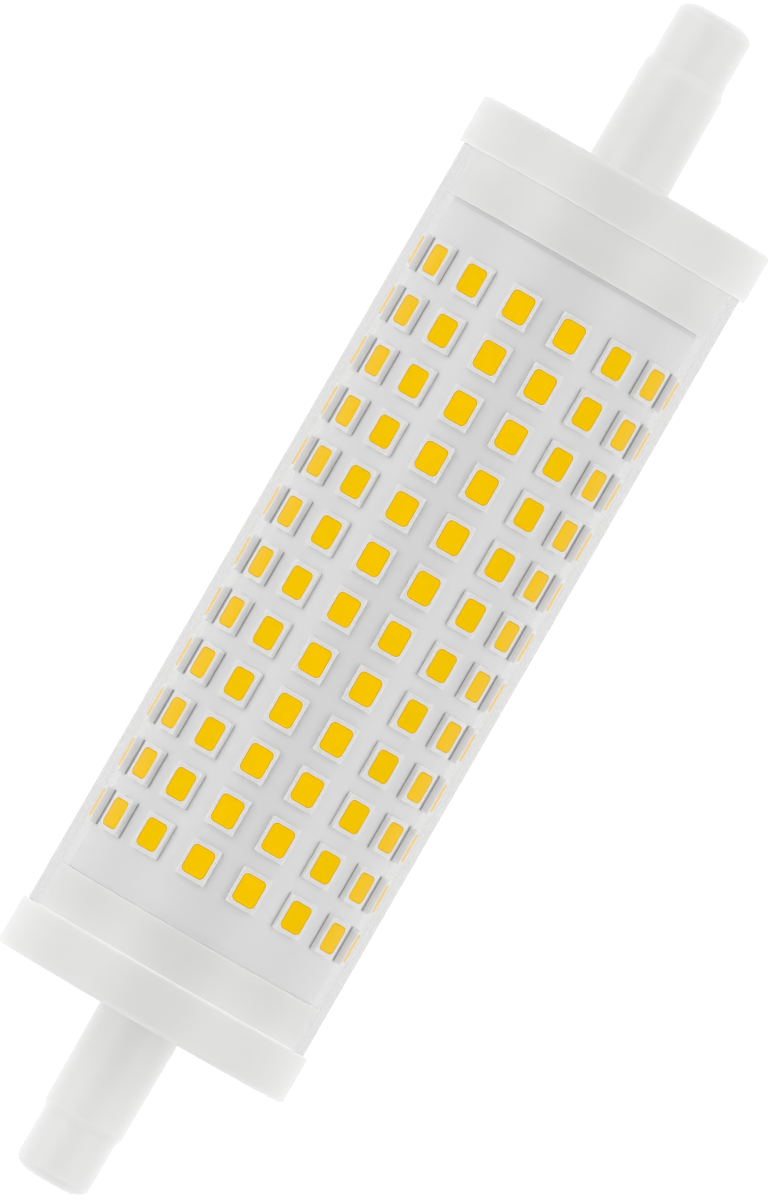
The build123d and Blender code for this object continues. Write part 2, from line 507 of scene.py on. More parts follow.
@dataclass(frozen=True)
class Finish:
    """A solid, opaque finish with a fine grain and a slight unevenness of tone.

    Attributes:
        name: The finish's name.
        colour: Base colour, linear.
        roughness: Middle of its roughness.
        gloss: Strength of its highlights, 0.5 for plain plastic.
        metallic: 1 for bare metal.
        grain: How the relief runs.
        grain_size: Size of the relief's features.
        grain_depth: Depth of the relief.
        mottle: Share by which the tone varies.
        glow: Strength of its own light.
        softness: How far light wanders below the surface, 0 for none.
    """

    GRAIN_LAYERS: ClassVar[float] = 4.0
    CLOUD_LAYERS: ClassVar[float] = 3.0
    CLOUD_SCALE: ClassVar[float] = 20.0  # size of the uneven places, in grains
    ROUGHNESS_SWING: ClassVar[float] = 0.15  # share by which the grain varies the roughness

    name: str
    colour: Colour
    roughness: float
    gloss: float = 0.5
    metallic: float = 0.0
    grain: Grain = Grain.EVEN
    grain_size: float = 0.15 * MM
    grain_depth: float = 0.002 * MM
    mottle: float = 0.02
    glow: float = 0.0
    softness: float = 0.0

    def material(self) -> Material:
        """Builds the finish's material.

        Returns:
            The new material.
        """
        graph = NodeGraph(bpy.data.materials.new(self.name))
        inputs = graph.shader.inputs
        graph.set("Metallic", self.metallic)
        graph.set("Specular IOR Level", self.gloss)
        space = graph.pattern_space(self.grain)
        grain = graph.noise(space, self.grain_size, self.GRAIN_LAYERS)
        cloud = graph.noise(space, self.CLOUD_SCALE * self.grain_size, self.CLOUD_LAYERS)
        low = shaded(self.colour, 1 - self.mottle)
        high = shaded(self.colour, 1 + self.mottle)
        tone = graph.tinted(cloud, low, high)
        graph.join(tone, inputs["Base Color"])
        swing = self.ROUGHNESS_SWING * self.roughness
        rough = graph.spread(grain, self.roughness - swing, self.roughness + swing)
        graph.join(rough, inputs["Roughness"])
        graph.relief(grain, self.grain_depth)
        if self.glow:
            graph.join(tone, inputs["Emission Color"])
            graph.set("Emission Strength", self.glow)
        if self.softness:
            graph.set("Subsurface Weight", 1.0)
            graph.set("Subsurface Radius", (1.0, 1.0, 1.0))
            graph.set("Subsurface Scale", self.softness)
        return graph.material


@dataclass(frozen=True)
class ClearFinish:
    """A clear, polished plastic wall with a slight grey of its own.

    Attributes:
        name: The finish's name.
        tint: Colour of what passes through its surface, linear.
        bending: Refractive index.
        glare: Share of the mirror reflection that is left when looking straight at it.
        grey: Share of the light that one metre would take, as the exponent of its loss.
        cloud_size: Size of the slightly cloudier places.
        mottle: Share by which the tint varies.
    """

    CLOUD_LAYERS: ClassVar[float] = 2.0
    LOSS_TONE: ClassVar[float] = 0.5  # any tone will do, as the density makes up for it

    name: str
    tint: Colour
    bending: float
    glare: float
    grey: float
    cloud_size: float = 6.0 * MM
    mottle: float = 0.004

    def material(self) -> Material:
        """Builds the finish's material, whose loss per metre is its density times 1 - LOSS_TONE.

        Returns:
            The new material.
        """
        graph = NodeGraph(bpy.data.materials.new(self.name))
        graph.set("Transmission Weight", 1.0)
        graph.set("Roughness", 0.0)
        graph.set("IOR", self.bending)
        graph.set("Specular Tint", (*[self.glare] * 3, 1.0))
        clouds = graph.noise(graph.pattern_space(Grain.EVEN), self.cloud_size, self.CLOUD_LAYERS)
        low = shaded(self.tint, 1 - self.mottle)
        high = shaded(self.tint, 1 + self.mottle)
        graph.join(graph.tinted(clouds, low, high), graph.shader.inputs["Base Color"])
        loss = graph.add(
            "ShaderNodeVolumeAbsorption",
            Color=(*[self.LOSS_TONE] * 3, 1.0),
            Density=self.grey / (1 - self.LOSS_TONE),
        )
        graph.join(loss.outputs["Volume"], graph.output.inputs["Volume"])
        return graph.material


@dataclass(frozen=True)
class WoundFinish(Finish):
    """Enamelled wire wound in close turns, painted darker between them as shade.

    Attributes:
        wire: Diameter of the wire.
        unevenness: How far the turns waver.
        gap_painted_shade: Share of the wire's brightness that is left between the turns, where the
            darkening is painted shade.
        gap_roughness: Roughness between the turns, as a share of the wire's.
        turn_depth: Depth of the gaps, as a share of the wire's diameter.
    """

    BAND: ClassVar[float] = math.pi / 10  # length of one wave of the pattern at scale 1

    wire: float = 0.25 * MM
    unevenness: float = 0.2
    gap_painted_shade: float = 0.35
    gap_roughness: float = 1.3
    turn_depth: float = 0.25

    def material(self) -> Material:
        """Builds the finish's material.

        Returns:
            The new material.
        """
        graph = NodeGraph(bpy.data.materials.new(self.name))
        inputs = graph.shader.inputs
        graph.set("Metallic", self.metallic)
        wave = graph.add(
            "ShaderNodeTexWave", Scale=self.BAND / self.wire, Distortion=self.unevenness
        )
        wave.bands_direction = "Z"
        graph.join(graph.pattern_space(Grain.EVEN), wave.inputs["Vector"])
        turns = wave.outputs["Fac"]
        # The gaps between turns are darkened as painted shade.
        tone = graph.tinted(turns, shaded(self.colour, self.gap_painted_shade), self.colour)
        graph.join(tone, inputs["Base Color"])
        rough = graph.spread(turns, self.gap_roughness * self.roughness, self.roughness)
        graph.join(rough, inputs["Roughness"])
        graph.relief(turns, self.turn_depth * self.wire)
        return graph.material


def materials_of(*finishes: Finish | ClearFinish) -> list[Material]:
    """Builds the materials of a piece's finishes, in order."""
    return [finish.material() for finish in finishes]


# The lamp


@dataclass(frozen=True)
class LampFrame:
    """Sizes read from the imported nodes."""

    stub_end: float
    rim_radius: float
    rim_step: float
    tube_radius: float
    board_radius: float
    core_radius: float
    contact_face: float
    contact_back: float
    contact_radius: float
    led_row_end: float

    @classmethod
    def read(cls) -> "LampFrame":
        """Reads the sizes from the nodes' boxes.

        Returns:
            The sizes.
        """
        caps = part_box("end_caps")[1]
        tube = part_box("cover_tube")[1]
        contact_low, contact_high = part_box("contact_right")
        return cls(
            stub_end=caps.x,
            rim_radius=caps.z,
            rim_step=tube.x,
            tube_radius=tube.z,
            board_radius=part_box("led_board")[1].z,
            core_radius=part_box("core_tube")[1].z,
            contact_face=contact_high.x,
            contact_back=contact_low.x,
            contact_radius=contact_high.z,
            led_row_end=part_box("led_packages")[1].x,
        )


@dataclass
class EndCaps:
    """The two moulded end caps, each with its stub, rim and skirt."""

    frame: LampFrame
    rim_finish: Finish
    skirt_painted_lighter: Finish
    stub_painted_lighter: Finish
    wall_painted_glow: Finish
    segments: int = 192
    cap_face: float = 42.8 * MM
    stub_root_radius: float = 3.92 * MM
    stub_root_rounding: float = 0.2 * MM
    stub_step_radius: float = 3.84 * MM
    stub_step_slope: float = 0.8 * MM
    stub_step_rounding: float = 0.4 * MM
    stub_tip_radius: float = 3.55 * MM
    stub_tip_length: float = 5.65 * MM
    stub_tip_rounding: float = 0.3 * MM
    crown: float = 0.38 * MM
    crown_rounding: float = 1.2 * MM
    crown_edge: float = 0.5 * MM
    crown_edge_rounding: float = 0.45 * MM
    recess_radius: float = 2.0 * MM
    recess_mouth_rounding: float = 0.12 * MM
    recess_floor_rounding: float = 0.02 * MM
    bore_radius: float = 1.8 * MM
    rim_rounding: float = 0.45 * MM
    rim_step_rounding: float = 0.15 * MM
    wall_edge: float = 0.25 * MM
    wall_lean: float = 0.01 * MM  # so that the profile turns where the wall's finish starts
    skirt_radius: float = 13.12 * MM
    skirt_ends: tuple[float, float] = (33.97 * MM, 33.70 * MM)
    skirt_rounding: float = 0.1 * MM
    socket_clearance: float = 0.06 * MM
    inside_rounding: float = 0.06 * MM
    plate_inside: float = 40.6 * MM
    fork_tip: float = 34.6 * MM
    fork_inside: float = 8.38 * MM
    fork_outside: float = 10.38 * MM
    fork_prong: float = 1.2 * MM
    fork_slot_end: float = 37.7 * MM
    fork_slot_low: float = -1.9 * MM
    fork_slot_high: float = -0.5 * MM

    def stub_corners(self) -> list[Corner]:
        """Lists the corners of a right-hand stub, from the recess's mouth to the step.

        Returns:
            The corners.
        """
        end = self.frame.stub_end
        tip = self.stub_tip_radius
        crown_start = end - self.crown
        tip_start = end - self.stub_tip_length
        step_end = tip_start - self.stub_step_slope
        stub = CapSurface.STUB
        return [
            Corner(end, self.recess_radius, self.recess_mouth_rounding, stub),
            Corner(crown_start, tip - self.crown_edge, self.crown_rounding, stub),
            Corner(crown_start - self.crown_edge, tip, self.crown_edge_rounding, stub),
            Corner(tip_start, tip, self.stub_tip_rounding, stub),
            Corner(step_end, self.stub_step_radius, self.stub_step_rounding, stub),
        ]

    def profile(self, skirt_end: float) -> list[Corner]:
        """Lists a right-hand cap's corners, from the recess's mouth round the outside.

        Args:
            skirt_end: Where the cap's skirt ends along the axis.

        Returns:
            The corners of the cap's profile.
        """
        face = self.cap_face
        rim = self.frame.rim_radius
        step = self.frame.rim_step
        floor = self.frame.contact_face
        socket = self.frame.core_radius + self.socket_clearance
        fine = self.inside_rounding
        return [
            *self.stub_corners(),
            Corner(face, self.stub_root_radius, self.stub_root_rounding),
            Corner(face, rim, self.rim_rounding),
            Corner(step, rim, self.rim_step_rounding),
            # From here the rim's inner wall has a painted glow.
            Corner(step + self.wall_lean, rim - self.wall_edge, self.wall_lean, CapSurface.WALL),
            Corner(step, self.skirt_radius, fine, CapSurface.SKIRT),
            Corner(skirt_end, self.skirt_radius, self.skirt_rounding, CapSurface.SKIRT),
            Corner(skirt_end, socket, fine),
            Corner(self.plate_inside, socket, fine),
            Corner(self.plate_inside, self.bore_radius, fine),
            Corner(floor, self.bore_radius, self.recess_floor_rounding),
            Corner(floor, self.recess_radius, self.recess_floor_rounding),
        ]

    def add_forks(self, draft: MeshDraft, end: End) -> None:
        """Adds the two forks that hold the driver board, inside one cap.

        Args:
            draft: The mesh to add to.
            end: Which cap.
        """
        slot_low, slot_high = self.fork_slot_low, self.fork_slot_high
        spans = (
            (self.fork_tip, slot_low - self.fork_prong, slot_low),
            (self.fork_tip, slot_high, slot_high + self.fork_prong),
            (self.fork_slot_end, slot_low, slot_high),
        )
        for side in (-1, 1):
            edges = sorted((side * self.fork_inside, side * self.fork_outside))
            for start, low, high in spans:
                ends = sorted((end.value * start, end.value * self.plate_inside))
                draft.add_block(
                    Vector((ends[0], edges[0], low)), Vector((ends[1], edges[1], high))
                )

    def build(self) -> Piece:
        """Turns both caps and dresses them, and lets no shadow of theirs fall on the board.

        Returns:
            The caps, as one piece.
        """
        draft = MeshDraft()
        left_end, right_end = self.skirt_ends
        draft.add_turned(mirrored_profile(self.profile(left_end)), self.segments)
        draft.add_turned(self.profile(right_end), self.segments)
        for end in End:
            self.add_forks(draft, end)
        materials = materials_of(
            self.rim_finish, self.skirt_painted_lighter, self.stub_painted_lighter, self.wall_painted_glow
        )
        caps = draft.piece("end_caps_moulded", materials, "cap_plastic", "end_caps")
        caps.visible_shadow = False
        return caps


@dataclass
class CoverTube:
    """The clear tube between the rims."""

    frame: LampFrame
    finish: ClearFinish
    segments: int = 1200
    wall: float = 0.75 * MM
    end_seat: float = 0.02 * MM
    edge_rounding: float = 0.05 * MM
    edge_steps: int = 2

    def build(self) -> Piece:
        """Turns the tube and dresses it, and lets the studio's light straight through its wall.

        Returns:
            The tube.
        """
        end = self.frame.rim_step + self.end_seat
        outside = self.frame.tube_radius
        inside = outside - self.wall
        places = ((-end, outside), (-end, inside), (end, inside), (end, outside))
        corners = [Corner(along, radius, self.edge_rounding) for along, radius in places]
        draft = MeshDraft()
        draft.add_turned(corners, self.segments, self.edge_steps)
        tube = draft.piece(
            "cover_tube_clear", materials_of(self.finish), "clear_cover", "cover_tube"
        )
        tube.visible_diffuse = False
        tube.visible_shadow = False
        return tube


@dataclass(frozen=True)
class BoardGrid:
    """The cells that the rolled board is made of.

    Attributes:
        angles: Where cells meet round the board, from one side of the seam to the other.
        places: Where cells meet along the board. The white mask's end is there twice.
        masked: Number of places up to the white mask's end.
        slot_angles: Where a link slot starts and ends, from the back.
        slot_ends: Where the link slots start and end along the board.
    """

    angles: Sequence[float]
    places: Sequence[float]
    masked: int
    slot_angles: Sequence[float]
    slot_ends: Sequence[float]

    def outwards(self, turn: int) -> Vector:
        """Gives the direction out of the board at one of the angles."""
        return Vector((0, math.sin(self.angles[turn]), -math.cos(self.angles[turn])))

    def corner(self, turn: int, step: int, inner: int) -> int:
        """Gives a vertex by its angle, its place and its side, which is 1 for the inside."""
        return (turn * len(self.places) + step) * 2 + inner

    def is_open(self, turn: int, step: int) -> bool:
        """Tells whether a cell is outside the board or in a slot.

        Args:
            turn: The angle that it starts from.
            step: The place that it starts from.

        Returns:
            True where there is no board.
        """
        if not (0 <= turn < len(self.angles) - 1 and 0 <= step < len(self.places) - 1):
            return True
        angle = (self.angles[turn] + self.angles[turn + 1]) / 2
        angle = min(angle, math.tau - angle)
        place = (self.places[step] + self.places[step + 1]) / 2
        in_slot_angle = self.slot_angles[0] < angle < self.slot_angles[1]
        return in_slot_angle and self.slot_ends[0] < place < self.slot_ends[1]


@dataclass
class LedBoard:
    """The white board rolled round the core, with its seam and link slots at the back."""

    frame: LampFrame
    mask_finish: Finish
    base_and_painted_shade_finish: Finish
    segments: int = 256
    thickness: float = 0.35 * MM
    ends: tuple[float, float] = (33.95 * MM, 33.68 * MM)
    bare_right: float = 0.36 * MM
    mask_thickness: float = 0.06 * MM
    seam: float = 0.3 * MM
    slot_offset: float = 1.7 * MM
    slot_width: float = 2.0 * MM
    slot_height: float = 0.7 * MM
    link_along: float = 31.745 * MM

    def grid(self) -> BoardGrid:
        """Divides the board into cells.

        Returns:
            The cells.
        """
        outside = self.frame.board_radius
        left_end, right_end = self.ends
        mask_end = right_end - self.bare_right
        slot_ends = [self.link_along + sign * self.slot_width / 2 for sign in (-1, 1)]
        slot_sides = [self.slot_offset + sign * self.slot_height / 2 for sign in (-1, 1)]
        slot_angles = [math.asin(side / outside) for side in slot_sides]
        far_angles = [math.tau - angle for angle in reversed(slot_angles)]
        start = math.asin(self.seam / 2 / outside)
        spacing = math.tau / self.segments
        angles = stops(start, math.tau - start, [*slot_angles, *far_angles], spacing)
        places = stops(-left_end, mask_end, slot_ends, left_end / 2)
        return BoardGrid(
            angles, [*places, mask_end, right_end], len(places), slot_angles, slot_ends
        )

    def add_points(self, draft: MeshDraft, grid: BoardGrid) -> None:
        """Adds the vertices of the cells, outside and inside.

        Args:
            draft: The mesh to add to.
            grid: The cells.
        """
        mask = self.frame.board_radius
        base = mask - self.mask_thickness
        inside = mask - self.thickness
        for turn in range(len(grid.angles)):
            outwards = grid.outwards(turn)
            for step, place in enumerate(grid.places):
                for radius in (mask if step < grid.masked else base, inside):
                    draft.vertices.append(ALONG * place + outwards * radius)

    def add_cell(self, draft: MeshDraft, grid: BoardGrid, turn: int, step: int) -> None:
        """Adds the faces of one cell, with its edges where the board ends.

        Args:
            draft: The mesh to add to.
            grid: The cells.
            turn: The angle that the cell starts from.
            step: The place that it starts from.
        """
        spots = ((turn, step), (turn, step + 1), (turn + 1, step + 1), (turn + 1, step))
        if step == grid.masked - 1:  # the upright edge of the white mask
            draft.add_flat_face([grid.corner(*spot, 0) for spot in spots[::-1]])
            return
        # The bare margin's darker finish is partly painted shade.
        finish = BoardSurface.BASE if step >= grid.masked else BoardSurface.MASK
        for inner, sign in ((0, 1), (1, -1)):
            around = spots if inner else spots[::-1]
            normals = [grid.outwards(spot[0]) * sign for spot in around]
            draft.add_face([grid.corner(*spot, inner) for spot in around], normals, finish)
        neighbours = ((turn, step - 1), (turn + 1, step), (turn, step + 1), (turn - 1, step))
        borders = ((0, 3), (3, 2), (2, 1), (1, 0))
        for neighbour, (first, second) in zip(neighbours, borders):
            if grid.is_open(*neighbour):
                edge = ((first, 0), (first, 1), (second, 1), (second, 0))
                draft.add_flat_face([grid.corner(*spots[spot], inner) for spot, inner in edge])

    def build(self) -> Piece:
        """Rolls the board and dresses it.

        Returns:
            The board.
        """
        draft = MeshDraft()
        grid = self.grid()
        self.add_points(draft, grid)
        for turn in range(len(grid.angles) - 1):
            for step in range(len(grid.places) - 1):
                if not grid.is_open(turn, step):
                    self.add_cell(draft, grid, turn, step)
        materials = materials_of(self.mask_finish, self.base_and_painted_shade_finish)
        return draft.piece("led_board_rolled", materials, "board_mask", "led_board")


@dataclass
class LedArray:
    """The LEDs on the board: white housings on a dark lead strip that also serves as painted contact
    shade, with a phosphor window sunk in each.
    """

    frame: LampFrame
    housing: Finish
    cavity: Finish
    leads_and_painted_shade: Finish
    phosphor: Finish
    phosphor_edge_painted_shade: Finish
    rows: int = 12
    columns: int = 16
    length: float = 3.5 * MM
    width: float = 2.8 * MM
    height: float = 0.64 * MM
    foot_depth: float = 0.02 * MM
    lead_height: float = 0.075 * MM
    lead_inset: float = 0.03 * MM
    edge: float = 0.025 * MM
    corner_rounding: float = 0.12 * MM
    least_rounding: float = 0.03 * MM
    window_length: float = 2.7 * MM
    window_width: float = 2.22 * MM
    window_rounding: float = 0.45 * MM
    window_depth: float = 0.05 * MM
    window_slope: float = 0.04 * MM
    window_lip: float = 0.06 * MM
    meniscus: float = 0.03 * MM
    fill_edge: float = 0.05 * MM
    fill_slope: float = 0.15 * MM
    fill_hollow: float = 0.4 * MM
    corner_steps: int = 4

    def places(self) -> list[Matrix]:
        """Lists where each LED stands.

        Returns:
            A matrix from each LED's own base to the lamp.
        """
        pitch = (2 * self.frame.led_row_end - self.length) / (self.rows - 1)
        first = -(self.rows - 1) * pitch / 2
        lift = Matrix.Translation((0, 0, self.frame.board_radius))
        places = []
        for column in range(self.columns):
            turn = Matrix.Rotation(-(column + 0.5) * math.tau / self.columns, 4, "X")
            for row in range(self.rows):
                places.append(Matrix.Translation((first + row * pitch, 0, 0)) @ turn @ lift)
        return places

    def outline(self, inset: float, height: float) -> list[Vector]:
        """Lays out the housing's outline.

        Args:
            inset: How far it is drawn in all round.
            height: How high it lies over the board.

        Returns:
            The points of the outline.
        """
        rounding = max(self.corner_rounding - inset, self.least_rounding)
        length, width = self.length - 2 * inset, self.width - 2 * inset
        return raised(rounded_rectangle(length, width, rounding, self.corner_steps), height)

    def window(self, growth: float, height: float) -> list[Vector]:
        """Lays out the window's outline.

        Args:
            growth: How far it is let out all round.
            height: How high it lies over the board.

        Returns:
            The points of the outline.
        """
        rounding = self.window_rounding + growth
        length, width = self.window_length + 2 * growth, self.window_width + 2 * growth
        return raised(rounded_rectangle(length, width, rounding, self.corner_steps), height)

    def housing_loops(self) -> list[tuple[list[Vector], HousingSurface]]:
        """Lists the loops of one housing with their finishes, from its foot up and into the window.

        Returns:
            Each loop, with the finish that starts from it.
        """
        top = self.height
        housing, cavity = HousingSurface.HOUSING, HousingSurface.CAVITY
        return [
            # The dark strip at the foot is the lead frame and painted contact shade.
            (self.outline(self.lead_inset, -self.foot_depth), HousingSurface.LEADS_AND_PAINTED_SHADE),
            (self.outline(self.lead_inset, self.lead_height), housing),
            (self.outline(0, self.lead_height), housing),
            (self.outline(0, top - self.edge), housing),
            (self.outline(self.edge, top), housing),
            (self.window(self.window_slope + self.window_lip, top), cavity),
            (self.window(self.window_slope, top), cavity),
            (self.window(0, top - self.window_depth), cavity),
        ]

    def phosphor_loops(self) -> list[tuple[list[Vector], FillSurface]]:
        """Lists the loops of one phosphor fill with their finishes, from its edge inwards.

        Returns:
            Each loop, with the finish that starts from it.
        """
        floor = self.height - self.window_depth
        rim = floor + self.meniscus
        middle, edge = FillSurface.MIDDLE, FillSurface.EDGE
        return [
            # The edge ring's darker finish is painted shade of the cavity wall.
            (self.window(0, floor + self.meniscus / 4), edge),
            (self.window(self.window_slope / 4, rim), edge),
            (self.window(-self.fill_edge, rim), middle),
            (self.window(-self.fill_slope, floor + self.meniscus / 2), middle),
            (self.window(-self.fill_hollow, floor + self.meniscus / 4), middle),
        ]

    def build(self) -> list[Piece]:
        """Makes all housings as one piece and all phosphor fills as another, without shadows.

        Returns:
            The two pieces.
        """
        housings, fills = MeshDraft(), MeshDraft()
        shell, shell_finishes = zip(*self.housing_loops())
        fill, fill_finishes = zip(*self.phosphor_loops())
        for place in self.places():
            housings.add_loops(moved(place, shell), shell_finishes)
            fills.add_loops(moved(place, fill), fill_finishes, open_start=True)
        whites = materials_of(self.housing, self.cavity, self.leads_and_painted_shade)
        yellows = materials_of(self.phosphor, self.phosphor_edge_painted_shade)
        pieces = [
            housings.piece("led_housings", whites, "led_housing", "led_packages"),
            fills.piece("led_phosphor_fills", yellows, "phosphor", "led_phosphors"),
        ]
        for piece in pieces:
            piece.visible_shadow = False
        return pieces


@dataclass
class Contacts:
    """The plated contact pins at the bottom of the stubs' recesses."""

    frame: LampFrame
    finish: Finish
    segments: int = 64
    edge: float = 0.2 * MM
    dimple_radius: float = 0.7 * MM
    dimple_depth: float = 0.15 * MM
    dimple_rounding: float = 0.3 * MM
    core_radius: float = 0.02 * MM
    core_rounding: float = 0.005 * MM

    def build(self) -> list[Piece]:
        """Turns both pins, each with a rounded edge and a dimple in its face.

        Returns:
            The two pins.
        """
        face, back = self.frame.contact_face, self.frame.contact_back
        radius = self.frame.contact_radius
        right = [
            Corner(face - self.dimple_depth, self.core_radius, self.core_rounding),
            Corner(face, self.dimple_radius, self.dimple_rounding),
            Corner(face, radius, self.edge),
            Corner(back, radius, self.edge),
            Corner(back, self.core_radius, self.core_rounding),
        ]
        profiles = {End.LEFT: mirrored_profile(right), End.RIGHT: right}
        plating = materials_of(self.finish)
        pieces = []
        for end, profile in profiles.items():
            draft = MeshDraft()
            draft.add_turned(profile, self.segments)
            side = end.name.lower()
            name, node = f"contact_pin_{side}", f"contact_{side}"
            pieces.append(draft.piece(name, plating, "contact_plating", node))
        return pieces


@dataclass
class InnerParts:
    """The core and the driver inside it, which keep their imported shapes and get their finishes."""

    nodes: dict[str, Piece]
    finishes: dict[str, Finish]

    def build(self) -> None:
        """Dresses each node."""
        made: dict[str, Material] = {}
        for node, finish in self.finishes.items():
            if finish.name not in made:
                made[finish.name] = finish.material()
            materials = self.nodes[node].data.materials
            materials.clear()
            materials.append(made[finish.name])
            log.info("%s: packed shape, finish %s", node, finish.name)


# The studio


@dataclass
class SkyGraph:
    """The world's nodes."""

    tree: bpy.types.NodeTree

    def new(self, kind: str) -> bpy.types.Node:
        """Adds a plain node."""
        return self.tree.nodes.new(kind)

    def feed(self, socket: Socket, source: object) -> None:
        """Feeds an input.

        Args:
            socket: The input.
            source: An output to link to it, or a plain value to set.
        """
        if isinstance(source, Socket):
            self.tree.links.new(source, socket)
        else:
            socket.default_value = source

    def add(self, kind: str, option: str, choice: str, *sources: object) -> Socket:
        """Adds a node with one option set.

        Args:
            kind: Blender's name for the node.
            option: The option's name.
            choice: What it is set to.
            sources: What feeds the node's inputs, in order.

        Returns:
            The node's output.
        """
        node = self.new(kind)
        setattr(node, option, choice)
        for socket, source in zip(node.inputs, sources):
            self.feed(socket, source)
        return next(output for output in node.outputs if output.enabled)

    def calculate(self, operation: str, *sources: object) -> Socket:
        """Works out a plain value from others."""
        return self.add("ShaderNodeMath", "operation", operation, *sources)

    def facing(self, direction: Socket, axis: tuple[float, float, float]) -> Socket:
        """Tells how far a direction points along an axis."""
        return self.add("ShaderNodeVectorMath", "operation", "DOT_PRODUCT", direction, axis)

    def span(self, easing: Easing, value: Socket, *ends: float) -> Socket:
        """Maps a value from one range to another, whose ends follow it in order."""
        return self.add("ShaderNodeMapRange", "interpolation_type", easing.value, value, *ends)


@dataclass(frozen=True)
class StudioSky:
    """Soft light from all sides, dark overhead, with a softbox on each side of the lamp.

    Attributes:
        zenith: Brightness straight overhead.
        sides: Brightness at the sides, above the horizon.
        horizon: Brightness at the horizon.
        horizon_blend: Height below the horizon at which the light has faded out, under the floor.
        dark_above: Height on the unit sphere above which it is as dark as overhead.
        bright_below: Height below which it is as bright as at the sides.
        dimmer_ends: Share by which the sides are dimmer towards the lamp's two ends.
        brighter_along: Share by which the sides are brighter towards +X.
        brighter_across: Share by which the sides are brighter towards +Y.
        softbox: Brightness of each softbox.
        softbox_lean: Angle of the softboxes from overhead.
        softbox_turn: Direction in which they lean, from +X towards +Y and -Y.
        softbox_core: Angle from a softbox's middle within which it is at its brightest.
        softbox_edge: Angle from its middle at which it ends.
        backdrop: Brightness that is seen beyond the floor, straight or through the tube's wall.
        wall_passes: Number of clear surfaces behind which the backdrop is still seen.
    """

    zenith: float = 0.05
    sides: float = 1.56
    horizon: float = 0.62
    horizon_blend: float = 0.02
    dark_above: float = 0.94
    bright_below: float = 0.74
    dimmer_ends: float = 0.6
    brighter_along: float = -0.16
    brighter_across: float = 0.03
    softbox: float = 0.65
    softbox_lean: float = math.radians(50)
    softbox_turn: float = math.radians(50)
    softbox_core: float = math.radians(15)
    softbox_edge: float = math.radians(35)
    backdrop: float = 1.1
    wall_passes: int = 2

    def dome(self, graph: SkyGraph, height: Socket) -> Socket:
        """Works out the light of the dome over the floor.

        Args:
            graph: The world's nodes.
            height: Height on the unit sphere that the light comes from.

        Returns:
            The dome's strength.
        """
        wall = graph.span(Easing.STRAIGHT, height, 0.0, self.bright_below, self.horizon, self.sides)
        above = graph.span(Easing.SOFT, height, -self.horizon_blend, 0.0, 0.0, 1.0)
        overhead = self.zenith / self.sides
        share = graph.span(Easing.SOFT, height, self.bright_below, self.dark_above, 1.0, overhead)
        return graph.calculate("MULTIPLY", graph.calculate("MULTIPLY", wall, above), share)

    def tilt(self, graph: SkyGraph, direction: Socket, along: Socket) -> Socket:
        """Works out how the dome's light varies round the lamp.

        Args:
            graph: The world's nodes.
            direction: Where the light comes from.
            along: How far that is towards +X.

        Returns:
            The share of the dome's strength.
        """
        lean = graph.facing(direction, (self.brighter_along, self.brighter_across, 0.0))
        endwards = graph.calculate("MULTIPLY", along, along)
        fall = graph.calculate("MULTIPLY_ADD", endwards, -self.dimmer_ends, 1.0)
        return graph.calculate("ADD", lean, fall)

    def softboxes(self, graph: SkyGraph, along: Socket, across: Socket, height: Socket) -> Socket:
        """Works out the light of both softboxes, which mirror each other.

        Args:
            graph: The world's nodes.
            along: How far the light's direction is towards +X.
            across: How far it is towards +Y.
            height: How far it is upwards.

        Returns:
            The softboxes' strength.
        """
        sideways = graph.calculate("ABSOLUTE", across)
        mirrored = graph.new("ShaderNodeCombineXYZ")
        for socket, part in zip(mirrored.inputs, (along, sideways, height)):
            graph.feed(socket, part)
        reach = math.sin(self.softbox_lean)
        middle = (
            reach * math.cos(self.softbox_turn),
            reach * math.sin(self.softbox_turn),
            math.cos(self.softbox_lean),
        )
        facing = graph.facing(mirrored.outputs["Vector"], middle)
        edge, core = math.cos(self.softbox_edge), math.cos(self.softbox_core)
        return graph.span(Easing.SOFT, facing, edge, core, 0.0, self.softbox)

    def light(self, graph: SkyGraph) -> Socket:
        """Works out the light that comes from each direction.

        Args:
            graph: The world's nodes.

        Returns:
            The light's strength.
        """
        direction = graph.new("ShaderNodeTexCoord").outputs["Generated"]
        parts = graph.new("ShaderNodeSeparateXYZ")
        graph.feed(parts.inputs["Vector"], direction)
        along, across, height = (parts.outputs[axis] for axis in "XYZ")
        dome = self.dome(graph, height)
        tilt = self.tilt(graph, direction, along)
        softboxes = self.softboxes(graph, along, across, height)
        return graph.calculate("MULTIPLY_ADD", dome, tilt, softboxes)

    def seen(self, graph: SkyGraph) -> Socket:
        """Tells whether the backdrop is seen straight or through the tube's wall alone.

        Args:
            graph: The world's nodes.

        Returns:
            1 where it is, otherwise 0.
        """
        path = graph.new("ShaderNodeLightPath").outputs
        near = graph.calculate("LESS_THAN", path["Transmission Depth"], self.wall_passes + 0.5)
        through = graph.calculate("MULTIPLY", path["Is Transmission Ray"], near)
        return graph.calculate("MAXIMUM", path["Is Camera Ray"], through)

    def build(self) -> None:
        """Fills the world with the light, in front of the plain backdrop."""
        world = bpy.data.worlds.new("studio_sky")
        bpy.context.scene.world = world
        world.use_nodes = True
        graph = SkyGraph(world.node_tree)
        graph.tree.nodes.clear()
        shown = graph.new("ShaderNodeMixShader")
        graph.feed(shown.inputs[0], self.seen(graph))
        for socket, strength in zip(shown.inputs[1:], (self.light(graph), self.backdrop)):
            background = graph.new("ShaderNodeBackground")
            graph.feed(background.inputs["Color"], WHITE)
            graph.feed(background.inputs["Strength"], strength)
            graph.feed(socket, background.outputs["Background"])
        output = graph.new("ShaderNodeOutputWorld")
        graph.feed(output.inputs["Surface"], shown.outputs["Shader"])


